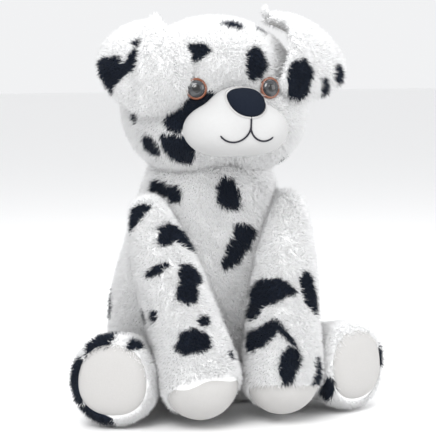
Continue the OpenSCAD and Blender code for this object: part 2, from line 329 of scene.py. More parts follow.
def point_values(made: bpy.types.Object, name: str, values: np.ndarray) -> None:
    """Stores one number for each point of a piece."""
    layer = made.data.attributes.new(name, "FLOAT", "POINT")
    layer.data.foreach_set("value", values.astype(np.float32))


# ---------------------------------------------------------------- forms


class Form:
    """A closed round surface, given by a height u from pole to pole and a turn v round it.

    Both run from 0 to 1. A form is evaluated for whole arrays of u and v at once.
    """

    def at(self, u: np.ndarray, v: np.ndarray) -> np.ndarray:
        """Returns the points of the surface in millimetres."""
        raise NotImplementedError

    def grid(self, rows: int, columns: int) -> tuple:
        """Returns u and v on an even grid of rows between the poles, as flat arrays."""
        u, v = np.meshgrid(
            (np.arange(rows) + 1) / (rows + 1), np.arange(columns) / columns, indexing="ij"
        )
        return u.ravel(), v.ravel()

    def normals(self, u: np.ndarray, v: np.ndarray) -> tuple:
        """Returns points, outward normals and the tangent along u, by small steps."""
        e = 1e-3
        low, high = np.clip(u - e, 0.0005, 1), np.clip(u + e, 0, 0.9995)
        along = self.at(high, v) - self.at(low, v)
        around = self.at(u, v + e) - self.at(u, v - e)
        here = self.at(u, v)
        n = unit(np.cross(along, around))
        return here, n * self.outward(), unit(along)

    def outward(self) -> float:
        """Returns 1 or -1, whichever turns the grid's normals outwards."""
        if not hasattr(self, "_outward"):
            u, v = self.grid(12, 16)
            e = 1e-3
            n = np.cross(self.at(u + e, v) - self.at(u - e, v), self.at(u, v + e) - self.at(u, v - e))
            self._outward = 1.0 if np.sum(n * (self.at(u, v) - self.middle())) > 0 else -1.0
        return self._outward

    def middle(self) -> np.ndarray:
        """Returns a point well inside the form."""
        u, v = self.grid(12, 16)
        return self.at(u, v).mean(axis=0)

    def core(self) -> np.ndarray:
        """Returns the point that the outer side faces away from."""
        return self.middle()

    def faces(self, rows: int, columns: int) -> tuple:
        """Returns the points and triangles of the closed surface, faces outwards."""
        u, v = self.grid(rows, columns)
        poles = self.at(vec(0.0, 1.0), vec(0.0, 0.0))
        points = np.vstack([self.at(u, v), poles])
        r, c = np.meshgrid(np.arange(rows - 1), np.arange(columns), indexing="ij")
        a = (r * columns + c).ravel()
        b = (r * columns + (c + 1) % columns).ravel()
        quads = [np.stack([a, a + columns, b + columns], 1), np.stack([a, b + columns, b], 1)]
        c = np.arange(columns)
        first, last = rows * columns, rows * columns + 1
        top = (rows - 1) * columns
        caps = [
            np.stack([np.full(columns, first), c, (c + 1) % columns], 1),
            np.stack([np.full(columns, last), top + (c + 1) % columns, top + c], 1),
        ]
        tris = np.vstack(quads + caps)
        if self.outward() < 0:
            tris = tris[:, ::-1]
        return points, tris, np.append(u, [0.0, 1.0]), np.append(v, [0.0, 0.0])


@dataclass
class Spindle(Form):
    """A form turned round a bent spine, with its own width and depth at every station.

    Each station is (along, width, front, back, shift): the distance along the axis, the half width
    to the side, the reach to the front and to the back, and a shift of the centre to the front.
    The stations are joined by a smooth curve, and the first and last close the form.

    Attributes:
        start: where along = 0 lies.
        axis: direction of along.
        front: direction of the front, square to the axis.
        stations: the stations, first pole to last.
        square: 2 for an oval cross-section, more for a fuller one.
        dents: forms of the neighbours that press into this one.
    """

    start: np.ndarray
    axis: np.ndarray
    front: np.ndarray
    stations: list
    square: float = 2.0
    dents: list = field(default_factory=list)

    def __post_init__(self) -> None:
        """Squares the front to the axis and spaces the stations by the root of their distances."""
        self.axis = unit(self.axis)
        self.front = unit(self.front - np.dot(self.front, self.axis) * self.axis)
        self.side = np.cross(self.front, self.axis)
        self.knots = np.array(self.stations, dtype=float)
        steps = np.hypot(*np.diff(self.knots[:, :2], axis=0).T)
        self.u_knots = np.append(0, np.cumsum(np.sqrt(steps))) / np.sum(np.sqrt(steps))

    def profile(self, u: np.ndarray) -> np.ndarray:
        """Returns each station value at u, by a cubic through the stations with limited slopes."""
        k, x = self.knots, self.u_knots
        d = np.diff(k, axis=0) / np.diff(x)[:, None]
        m = np.vstack([d[:1] * 1.5, (d[:-1] + d[1:]) / 2, d[-1:] * 1.5])
        flat = np.vstack([np.zeros_like(d[:1], bool), (d[:-1] * d[1:]) <= 0, np.zeros_like(d[:1], bool)])
        m = np.where(flat, 0.0, m)
        i = np.clip(np.searchsorted(x, u, side="right") - 1, 0, len(x) - 2)
        h = (x[i + 1] - x[i])[:, None]
        t = ((u - x[i]) / (x[i + 1] - x[i]))[:, None]
        return (
            (2 * t**3 - 3 * t**2 + 1) * k[i] + (t**3 - 2 * t**2 + t) * h * m[i]
            + (3 * t**2 - 2 * t**3) * k[i + 1] + (t**3 - t**2) * h * m[i + 1]
        )

    def at(self, u: np.ndarray, v: np.ndarray) -> np.ndarray:
        """Returns each cross-section's rim: a fuller oval of the station's sizes round the bent spine."""
        s, width, fore, aft, shift = self.profile(np.clip(u, 0, 1)).T
        angle = 2 * math.pi * np.asarray(v)
        c, q = np.cos(angle), np.sin(angle)
        full = (np.abs(c) ** self.square + np.abs(q) ** self.square) ** (-1 / self.square)
        reach = np.where(c > 0, np.maximum(fore, 0), np.maximum(aft, 0)) * full * c
        out = (
            self.start + s[:, None] * self.axis + (reach + shift)[:, None] * self.front
            + (np.maximum(width, 0) * full * q)[:, None] * self.side
        )
        spine = self.start + s[:, None] * self.axis + shift[:, None] * self.front
        for dent in self.dents:
            out = dent.press(out, spine)
        return out


@dataclass
class Blob(Form):
    """A form that swells round a centre: the smooth union of ellipsoids.

    Attributes:
        centre: the point every ellipsoid holds.
        eggs: (centre, half sizes) of each ellipsoid.
        blend: how sharply the ellipsoids meet; larger is sharper.
        top: direction of the second pole.
        front: direction of v = 0.
        dents: forms of the neighbours that press into this one.
    """

    centre: np.ndarray
    eggs: list
    blend: float = 9.0
    top: np.ndarray = field(default_factory=lambda: vec(0, 0, 1))
    front: np.ndarray = field(default_factory=lambda: vec(0, -1, 0))
    dents: list = field(default_factory=list)

    def __post_init__(self) -> None:
        """Squares the front to the direction of the poles."""
        self.top = unit(self.top)
        self.front = unit(self.front - np.dot(self.front, self.top) * self.top)
        self.side = np.cross(self.front, self.top)

    def reach(self, d: np.ndarray) -> np.ndarray:
        """Returns how far the surface is from the centre in each direction.

        For a ray d from the centre and an ellipsoid with half sizes h and offset o, both divided
        by h, the far crossing is (d.o + sqrt((d.o)^2 - d.d (o.o - 1))) / d.d. The crossings are
        joined as the p-th root of the sum of their p-th powers.
        """
        total = np.zeros(len(d))
        for centre, half in self.eggs:
            o = (np.asarray(centre, dtype=float) - self.centre) / half
            w = d / half
            dd, do = np.sum(w * w, 1), w @ o
            total += ((do + np.sqrt(np.maximum(do * do - dd * (o @ o - 1), 0))) / dd) ** self.blend
        return total ** (1 / self.blend)

    def at(self, u: np.ndarray, v: np.ndarray) -> np.ndarray:
        """Returns the point that each direction from the centre reaches, pressed in by the dents."""
        polar, angle = math.pi * np.clip(u, 0, 1), 2 * math.pi * np.asarray(v)
        d = (
            -np.cos(polar)[:, None] * self.top
            + (np.sin(polar) * np.cos(angle))[:, None] * self.front
            + (np.sin(polar) * np.sin(angle))[:, None] * self.side
        )
        out = self.centre + self.reach(d)[:, None] * d
        for dent in self.dents:
            out = dent.press(out, np.broadcast_to(self.centre, out.shape))
        return out

    def on_front(self, x: np.ndarray, z: np.ndarray) -> np.ndarray:
        """Returns the front surface's points straight ahead of each x and z, by halving steps."""
        low, high = np.zeros(len(x)), np.full(len(x), 90.0)
        for _ in range(28):
            h = (low + high) / 2
            d = np.stack([x - self.centre[0], -h, z - self.centre[2]], 1)
            inside = np.linalg.norm(d, axis=1) < self.reach(unit(d))
            low, high = np.where(inside, h, low), np.where(inside, high, h)
        return np.stack([x, self.centre[1] - low, z], 1)


@dataclass
class Capsule:
    """A rounded bar that presses into its softer neighbours.

    Attributes:
        ends: its two end points.
        radii: its radius at each end.
        gap: the room it keeps.
    """

    ends: tuple
    radii: tuple
    gap: float = 1.2

    def depth(self, p: np.ndarray) -> np.ndarray:
        """Returns how deep each point lies inside the bar, gap included."""
        a, b = map(np.asarray, self.ends)
        t = np.clip((p - a) @ (b - a) / np.dot(b - a, b - a), 0, 1)
        near = a + t[:, None] * (b - a)
        radius = self.radii[0] + t * (self.radii[1] - self.radii[0])
        return radius + self.gap - np.linalg.norm(p - near, axis=1)

    def press(self, p: np.ndarray, spine: np.ndarray) -> np.ndarray:
        """Moves the points that lie in the bar towards their form's spine until they are clear."""
        inward = unit(spine - p)
        for _ in range(14):
            p = p + inward * (np.maximum(self.depth(p), 0) * 0.75)[:, None]
        return p


@dataclass
class Flap(Form):
    """A padded flap on an egg-shaped ball: an ear layer, or the pad of a paw.

    Directions from the ball's middle are given as (turn, tilt) in degrees: turn from straight ahead
    towards the puppy's outer side, tilt upwards.

    Attributes:
        centre: the ball's middle.
        half: the ball's half sizes at the middle of the flap's thickness.
        middle_at: (turn, tilt) of the flap's middle.
        outline: (turn, tilt) of each point that the flap's edge runs through.
        thick: half thickness.
        side: LEFT or RIGHT.
        inset: share of the outline that is left off all round.
        fold: height by which the part in front of the fold stands out.
        fold_turn: turn of the fold.
    """

    centre: np.ndarray
    half: tuple
    middle_at: tuple
    outline: tuple
    thick: float
    side: int = LEFT
    inset: float = 0.0
    fold: float = 0.0
    fold_turn: float = 40.0

    def __post_init__(self) -> None:
        """Works out the directions of the outline's points and of the middle."""
        self.edge_points = self.direction(*np.array(self.outline, dtype=float).T)
        self.mid = self.direction(*np.array([self.middle_at], dtype=float).T)[0]

    def direction(self, turn: np.ndarray, tilt: np.ndarray) -> np.ndarray:
        """Returns the unit directions at turn and tilt."""
        a, b = np.radians(turn), np.radians(tilt)
        return np.stack([self.side * np.cos(b) * np.sin(a), -np.cos(b) * np.cos(a), np.sin(b)], 1)

    def edge(self, v: np.ndarray) -> np.ndarray:
        """Returns the directions of the edge at v, by a closed cubic through the outline's points."""
        k = self.edge_points
        count = len(k)
        x = (np.asarray(v, dtype=float) % 1.0) * count
        i = np.floor(x).astype(int) % count
        t = (x - np.floor(x))[:, None]
        a, b, c, d = k[i - 1], k[i], k[(i + 1) % count], k[(i + 2) % count]
        square, cube = 2 * a - 5 * b + 4 * c - d, 3 * b - a - 3 * c + d
        return 0.5 * (2 * b + (c - a) * t + square * t**2 + cube * t**3)

    def core(self) -> np.ndarray:
        """Returns the ball's middle."""
        return self.centre

    def covers(self, p: np.ndarray, share: float) -> np.ndarray:
        """Returns which points lie behind the flap, out to a share of its outline.

        A direction d is m + r (e - m), scaled, for the middle m and an edge point e. The edge point
        that lies the same way round from the middle is found on a table of 180 of them.
        """
        d = unit((p - self.centre) / vec(*self.half))
        across = unit(np.cross(UP, self.mid))
        upward = np.cross(self.mid, across)
        edges = self.edge(np.arange(180) / 180)
        edges = edges / (edges @ self.mid)[:, None]
        ex, ey = edges @ across, edges @ upward
        order = np.argsort(np.arctan2(ey, ex))
        facing = np.maximum(d @ self.mid, 1e-3)
        x, y = d @ across / facing, d @ upward / facing
        ways, reaches = np.arctan2(ey, ex)[order], np.hypot(ex, ey)[order]
        limit = np.interp(np.arctan2(y, x), ways, reaches, period=2 * math.pi)
        return (d @ self.mid > 0.05) & (np.hypot(x, y) < share * limit)

    def at(self, u: np.ndarray, v: np.ndarray) -> np.ndarray:
        """Returns a point out from the middle by the sine of u, raised by half the thickness times
        the root of 1 less the distance to the power 3.5, and by the fold.
        """
        u = np.clip(u, 0, 1)
        rho = np.sin(math.pi * u)
        way = unit(self.mid + (1 - self.inset) * rho[:, None] * (self.edge(v) - self.mid))
        turn = np.degrees(np.arctan2(self.side * way[:, 0], -way[:, 1]))
        height = np.sign(np.cos(math.pi * u)) * self.thick * np.sqrt(np.maximum(1 - rho**3.5, 0))
        before_fold = 1 - smooth(turn, self.fold_turn - 5, self.fold_turn + 2)
        lift = self.fold * before_fold * smooth(way[:, 2], -0.3, 0.5)
        return self.centre + way * (vec(*self.half) + (height + lift)[:, None])


# ---------------------------------------------------------------- coat


@dataclass(frozen=True)
class Patch:
    """A dark patch of the coat.

    Attributes:
        name: where it is.
        at: its middle in millimetres; the nearest surface is used.
        size: its width and height in millimetres.
        turn: how far it leans, in degrees, clockwise as the coat is looked at.
        depth: how far the surface may curve away before the patch ends.
    """

    name: str
    at: tuple
    size: tuple
    turn: float = 0.0
    depth: float = 30.0


@dataclass
class Coat:
    """The long pile on a form: its backing and its strands, both coloured by the patches.

    Attributes:
        name: what the piece names start with.
        form: the surface that it grows on.
        body: the CAD body that it rides on.
        patches: its dark patches.
        bare: tells from roots and normals where no strand grows.
        comb: the direction in which it is brushed.
        length: mean strand length.
        seed: start of the random draws.
        slot: not used.
    """

    name: str
    form: Form
    body: str
    patches: tuple = ()
    bare: Callable | None = None
    comb: tuple = (0.0, -0.3, -1.0)
    length: float = 8.0
    seed: int = 1
    slot: str = "plush"

    def __post_init__(self) -> None:
        """Finds where each patch lies on the form."""
        self.brushed = unit(vec(*self.comb))
        self.spots = [self.placed(patch) for patch in self.patches]

    def placed(self, patch: Patch) -> tuple:
        """Finds the patch's middle, outward, side and up directions on the form."""
        u, v = self.form.grid(90, 120)
        p, n, _ = self.form.normals(u, v)
        away = np.sum((p - vec(*patch.at)) ** 2, axis=1)
        i = np.argmin(np.where(np.sum(n * (p - self.form.core()), axis=1) > 0, away, np.inf))
        out = n[i]
        upright = UP if abs(out[2]) < 0.85 else vec(0, 1, 0)
        across = unit(np.cross(upright, out))
        up = np.cross(out, across)
        t = math.radians(patch.turn)
        return (patch, p[i], out, across * math.cos(t) - up * math.sin(t),
                up * math.cos(t) + across * math.sin(t))

    def darkness(self, p: np.ndarray, n: np.ndarray, rough: float) -> np.ndarray:
        """Returns 1 inside a patch and 0 outside, for points p with normals n.

        A point's distance from each patch's middle, along and across the patch and divided by its
        half sizes, is compared with 1 plus three waves that run round the edge.
        """
        dark = np.zeros(len(p))
        for k, (patch, middle, out, across, up) in enumerate(self.spots):
            d = p - middle
            x, y = d @ across / (patch.size[0] / 2), d @ up / (patch.size[1] / 2)
            angle = np.arctan2(y, x)
            edge = 1 + 0.07 * np.sin(2 * angle + k) + 0.06 * np.sin(3 * angle + 2.1 * k)
            edge = edge + 0.04 * np.sin(7 * angle + 1.3 * k)
            far = np.hypot(x, y) / edge
            near = (np.abs(d @ out) < patch.depth) & (n @ out > -0.1)
            dark = np.maximum(dark, np.where(near, 1 - smooth(far, 1 - rough, 1 + rough), 0))
        return dark

    def backing(self, rows: int, columns: int, replaces: list | tuple = ()) -> bpy.types.Object:
        """Makes the cloth under the strands."""
        points, tris, u, v = self.form.faces(rows, columns)
        made = mesh_piece(self.name + "_cloth", points, tris.ravel(), 3, BACKING, self.body,
                          replaces)
        made.data.polygons.foreach_set("use_smooth", np.ones(len(tris), dtype=bool))
        _, n, _ = self.form.normals(np.clip(u, 0.004, 0.996), v)
        rng = np.random.default_rng(self.seed + 500)
        point_values(made, "patch", self.darkness(points, n, 0.06))
        point_values(made, "tone", rng.random(len(points)))
        return made

    def strands(self, density: float, name: str = "", keep: Callable | None = None) -> bpy.types.Object:
        """Grows the pile: straight tapered strands of four faces each.

        Args:
            density: strands in a square millimetre.
            name: a word for this part of the coat.
            keep: a function of the roots that tells which belong to this piece.

        Returns:
            The piece that holds the strands.
        """
        rng = np.random.default_rng(self.seed)
        rows, columns = 120, 160
        edge_u, edge_v = np.linspace(0.0, 1.0, rows + 1), np.linspace(0.0, 1.0, columns + 1)
        gu, gv = np.meshgrid(edge_u, edge_v, indexing="ij")
        g = self.form.at(gu.ravel(), gv.ravel()).reshape(rows + 1, columns + 1, 3)
        area = 0.5 * np.linalg.norm(np.cross(g[1:, 1:] - g[:-1, :-1], g[1:, :-1] - g[:-1, 1:]), axis=2)
        total = area.sum()
        count = int(total * density)
        cell = rng.choice(area.size, size=count, p=area.ravel() / total)
        u = (cell // columns + rng.random(count)) / rows
        v = (cell % columns + rng.random(count)) / columns
        root, out, _ = self.form.normals(u, v)
        ok = np.isfinite(out).all(axis=1)
        if self.bare is not None:
            ok &= ~self.bare(root, out)
        if keep is not None:
            ok &= keep(root)
        root, out = root[ok], out[ok]
        count = len(root)
        comb = np.broadcast_to(self.brushed, root.shape) - (out @ self.brushed)[:, None] * out
        wave = np.sin(root @ vec(0.19, 0.11, 0.23))[:, None] * np.cross(out, unit(comb + 1e-6)) * 0.45
        stray = rng.normal(size=root.shape)
        way = unit(out * 0.95 + comb * 0.75 + wave * 0.6 + stray * 0.33)
        reach = self.length * rng.uniform(0.65, 1.15, count)
        clear = root[:, 2] + way[:, 2] * reach > 0.5
        root, out, way, reach = root[clear], out[clear], way[clear], reach[clear]
        count = len(root)
        wide = rng.uniform(0.30, 0.46, count)
        side_a = unit(np.cross(way, out + 0.31))
        side_b = np.cross(way, side_a)
        base = root - out * 0.8
        turns = np.radians([90, 210, 330])
        ring = [
            base + (side_a * math.cos(t) + side_b * math.sin(t)) * wide[:, None] for t in turns
        ]
        tip = base + way * (reach + 0.8)[:, None]
        points = np.stack([*ring, tip], 1).reshape(-1, 3)
        pattern = np.array([0, 1, 3, 1, 2, 3, 2, 0, 3, 0, 2, 1])
        flip = np.sum(np.cross(ring[1][:1] - ring[0][:1], tip[:1] - ring[0][:1]) * (ring[0][:1] - base[:1]))
        if flip < 0:
            pattern = pattern.reshape(4, 3)[:, ::-1].ravel()
        corners = (np.arange(count)[:, None] * 4 + pattern).ravel()
        made = mesh_piece(f"{self.name}_pile{name}", points, corners, 3, PILE, self.body, ())
        dark = self.darkness(root, out, 0.10) > rng.uniform(0.3, 0.7, count)
        point_values(made, "patch", np.repeat(dark, 4).astype(float))
        point_values(made, "tone", np.repeat(rng.random(count), 4))
        self.cells(made, count, pattern)
        log.info("%s: %d strands on %.0f square mm", made.name, count, total)
        return made

    @staticmethod
    def cells(made: bpy.types.Object, count: int, pattern: np.ndarray) -> None:
        """Gives each strand its own small cell of a map, so that a baked colour fits it."""
        across = math.ceil(math.sqrt(count))
        low = np.stack([np.arange(count) % across, np.arange(count) // across], 1) / across
        inset = vec(0.15, 0.85)
        shape = np.array([[inset[0], inset[0]], [inset[1], inset[0]], [inset[0], inset[1]],
                          [inset[1], inset[1]]]) / across
        layer = made.data.uv_layers.new(name="OFBake")
        uv = low[:, None, :] + shape[pattern][None, :, :]
        layer.data.foreach_set("uv", uv.astype(np.float32).ravel())


# ---------------------------------------------------------------- sub-assemblies


@dataclass
class Limb:
    """The line of a limb, which its own form follows and its neighbours make room for.

    Attributes:
        bars: the capsules that stand for it.
    """

    bars: list

    def inside(self, p: np.ndarray, spare: float) -> np.ndarray:
        """Returns which points lie in the limb or within spare of it."""
        hit = np.zeros(len(p), dtype=bool)
        for bar in self.bars:
            hit |= bar.depth(p) > bar.gap - spare
        return hit


@dataclass
class FrontLeg:
    """A front leg: upper arm, forearm and paw in long pile, with a short-pile pad under the paw.

    Attributes:
        side: LEFT or RIGHT.
        patches: its dark patches.
        paw_radius: radius of the paw in the CAD.
    """

    side: Side
    patches: tuple = ()
    paw_radius: float = 32.5

    def name(self) -> str:
        """Returns the CAD's name of this side's leg."""
        return "front_leg_left" if self.side == LEFT else "front_leg_right"

    def ends(self) -> tuple[np.ndarray, np.ndarray]:
        """Returns the shoulder's joint and the paw's middle, from the CAD."""
        lowest, highest = box_of(self.name() + "_skin")
        inner = lowest[0] if self.side == LEFT else highest[0]
        radius = self.paw_radius
        paw = vec(inner + self.side * radius, lowest[1] + radius, lowest[2] + radius)
        return pivot(self.name() + "_swing"), paw

    def form(self) -> Spindle:
        """Returns the leg: stations along the line from shoulder to paw, widest at the paw."""
        a, b = self.ends()
        length = float(np.linalg.norm(b - a))
        stations = [
            (-17, 0, 0, 0, 0), (-12, 10.5, 10.5, 10.5, 0), (0, 16, 16.5, 16.5, 0), (18, 20, 20.5, 21, 0),
            (40, 24, 24.5, 25, 0), (70, 27, 28, 28, 1), (95, 28.5, 29.5, 29, 1), (length - 26, 31, 32, 30, 2),
            (length - 2, 32.5, 33, 30, 2), (length + 14, 29, 29, 27, 2), (length + 23, 20, 20, 19, 2),
            (length + 27, 0, 0, 0, 1),
        ]
        return Spindle(a, b - a, vec(0, -1, 0.35), stations, square=2.15)

    def limb(self) -> Limb:
        """Returns the bars that the torso makes room for."""
        a, b = self.ends()
        elbow = a + (b - a) * 0.55
        return Limb([Capsule((a, elbow), (17.0, 28.5)), Capsule((elbow, b), (28.5, 32.5))])

    def pad(self) -> Flap:
        """Returns the pad, a flap on the ball of the paw that faces down and forward."""
        outlines = {
            RIGHT: ((0, 19), (18, 17), (40, 9), (62, -2), (80, -22), (92, -48), (150, -72), (-150, -72),
                    (-92, -48), (-80, -18), (-62, 6), (-34, 18)),
            LEFT: ((0, 2), (24, 1), (50, -3), (72, -12), (88, -42), (150, -72), (-150, -72), (-92, -44),
                   (-80, -12), (-40, 0)),
        }
        tilt = -24 if self.side == RIGHT else -40
        return Flap(self.ends()[1], (32.3, 32.6, 32.3), (0, tilt), outlines[self.side], 2.4, self.side)

    def build(self) -> list:
        """Makes the leg's pieces and returns them."""
        name = self.name()
        form, pad = self.form(), self.pad()

        def bare(p: np.ndarray, n: np.ndarray) -> np.ndarray:
            """Tells which strands would grow through the pad."""
            return pad.covers(p, 0.92)

        coat = Coat(name, form, name, self.patches, bare, (0.0, -0.15, -1.0), 6.5,
                    31 + self.side)
        filled = [name + "_skin", name + "_filling"]
        return [
            coat.backing(90, 120, filled), coat.strands(1.45),
            Pads.dress(f"front_paw_{name[10:]}_pad", pad, name, VELOUR, 60, 90, "short_pile"),
        ]


@dataclass
class HindLeg:
    """A hind leg that lies forward: thigh and foot in long pile, and the round short-pile sole.

    Attributes:
        side: LEFT or RIGHT.
        turn: how far the sole turns outwards, in degrees.
        patches: its dark patches.
    """

    side: Side
    turn: float = 25.0
    patches: tuple = ()

    def name(self) -> str:
        """Returns the CAD's name of this side's leg."""
        return "hind_leg_left" if self.side == LEFT else "hind_leg_right"

    def sole(self) -> np.ndarray:
        """Returns the middle of the sole, from the CAD."""
        return middle_of(f"hind_sole_{self.name()[9:]}_pad") - self.axis() * 1.5

    def axis(self) -> np.ndarray:
        """Returns the direction that the sole faces."""
        t = math.radians(self.turn)
        return vec(math.sin(t) * self.side, -math.cos(t), 0.06)

    def form(self) -> Spindle:
        """Returns the leg: a drum that widens to a rounded rim round the sole."""
        stations = [
            (-108, 0, 0, 0, 0), (-101, 15, 16, 15, 0), (-82, 24, 26, 25, 0), (-58, 28, 30, 28, 0),
            (-36, 31, 33, 31, 0), (-18, 35, 36, 34, 0), (-7, 36, 38, 35.5, 0), (0, 33, 35.5, 32, 0),
            (2.2, 28, 31, 27, 0), (3.4, 0, 0, 0, 0),
        ]
        return Spindle(self.sole(), self.axis(), UP, stations, square=2.1)

    def limb(self) -> Limb:
        """Returns the bars that the torso makes room for."""
        a, c = pivot(self.name() + "_splay"), self.sole()
        return Limb([Capsule((a - unit(c - a) * 8, c - self.axis() * 22), (24.0, 33.0))])

    def pad(self) -> Spindle:
        """Returns the sole: a low cushion set into the rim, sewn down round its edge."""
        stations = [(-3.0, 0, 0, 0, 0), (-2.4, 27, 30, 26, 0), (0.6, 30, 33, 28.5, 0),
                    (3.6, 28, 31, 26.5, 0), (6.6, 22, 24.5, 20.5, 0), (8.2, 11, 12, 10, 0), (8.6, 0, 0, 0, 0)]
        centre = self.sole() + self.axis() * 0.8
        return Spindle(centre, self.axis(), UP, stations, square=2.25)

    def build(self) -> list:
        """Makes the leg's pieces and returns them."""
        name = self.name()
        form = self.form()
        centre, axis = self.sole(), unit(self.axis())

        def bare(p: np.ndarray, n: np.ndarray) -> np.ndarray:
            """Tells which strands would grow through the sole."""
            d = p - centre
            off = d - (d @ axis)[:, None] * axis
            return (np.linalg.norm(off, axis=1) < 30.5) & (d @ axis > -6)

        coat = Coat(name, form, name, self.patches, bare, (0.0, 0.2, -1.0), 6.0, 41 + self.side)
        return [
            coat.backing(110, 120, [name + "_skin", name + "_filling"]), coat.strands(1.4),
            Pads.dress(f"hind_sole_{name[9:]}_pad", self.pad(), name, VELOUR, 50, 110, "short_pile"),
        ]


class Pads:
    """The short-pile pieces."""

    @staticmethod
    def dress(name: str, form: Form, body: str, finish: Finish, rows: int, columns: int,
              slot: str) -> bpy.types.Object:
        """Makes one padded short-pile piece from its form, standing for the CAD node it is named after."""
        points, tris, _, _ = form.faces(rows, columns)
        made = mesh_piece(name + "_velour", points, tris.ravel(), 3, finish, body, [name])
        made.data.polygons.foreach_set("use_smooth", np.ones(len(tris), dtype=bool))
        return made


@dataclass
class Torso:
    """The pear-shaped body.

    Attributes:
        limbs: the limbs that press into it.
        patches: its dark patches.
    """

    limbs: list
    patches: tuple = ()

    def form(self) -> Spindle:
        """Returns the body: stations up the spine, pressed in where the limbs lie."""
        rings = [
            (2, 0, 0, 0, -22), (4, 44, 42, 44, -22), (12, 64, 56, 62, -22), (32, 79, 70, 75, -23),
            (62, 85, 75, 78, -21), (92, 84, 74, 76, -18), (130, 76, 66, 67, -12), (172, 64, 56, 56, -5),
            (205, 56, 50, 50, 0), (225, 47, 43, 43, 2), (238, 29, 27, 27, 2), (243, 0, 0, 0, 2),
        ]
        lowest, highest = box_of("torso_skin")
        foot = vec((lowest[0] + highest[0]) / 2, 0, lowest[2])
        dents = [bar for limb in self.limbs for bar in limb.bars]
        return Spindle(foot, UP, vec(0, -1, 0), rings, square=2.2, dents=dents)

    def build(self) -> list:
        """Makes the body's pieces and returns them."""

        def bare(p: np.ndarray, n: np.ndarray) -> np.ndarray:
            """Tells which strands would grow inside a limb, and those inside the neck."""
            hit = p[:, 2] > 236
            for limb in self.limbs:
                hit |= limb.inside(p, 2.2)
            return hit

        coat = Coat("torso", self.form(), "torso", self.patches, bare, (0.0, -0.2, -1.0), 7.5, 11)
        made = [coat.backing(150, 180, ["torso_skin", "torso_filling", "seat_pouch", "seat_pellets"])]
        made.append(coat.strands(1.35, "_front", lambda p: (p[:, 1] < 10) & (p[:, 2] > 95)))
        made.append(coat.strands(1.35, "_low", lambda p: (p[:, 1] < 10) & (p[:, 2] <= 95)))
        made.append(coat.strands(1.1, "_back", lambda p: p[:, 1] >= 10))
        return made


@dataclass
class Tail:
    """The short tail.

    Attributes:
        length: its length.
    """

    length: float = 46.0

    def build(self) -> list:
        """Makes the tail's pieces and returns them."""
        stations = [(-5, 0, 0, 0, 0), (-3, 6, 6, 6, 0), (8, 8, 8, 8, 0), (22, 8.5, 8.5, 8.5, 0),
                    (self.length - 10, 7, 7, 7, 0), (self.length, 0, 0, 0, 0)]
        form = Spindle(pivot("tail_wag") + vec(0, 1, 0), vec(0, 0.87, 0.5), vec(0, -0.5, 0.87), stations)
        coat = Coat("tail", form, "tail", (), None, (0, 0.8, 0.4), 7.0, 51)
        return [coat.backing(40, 48, ["tail_skin", "tail_filling"]), coat.strands(1.4)]


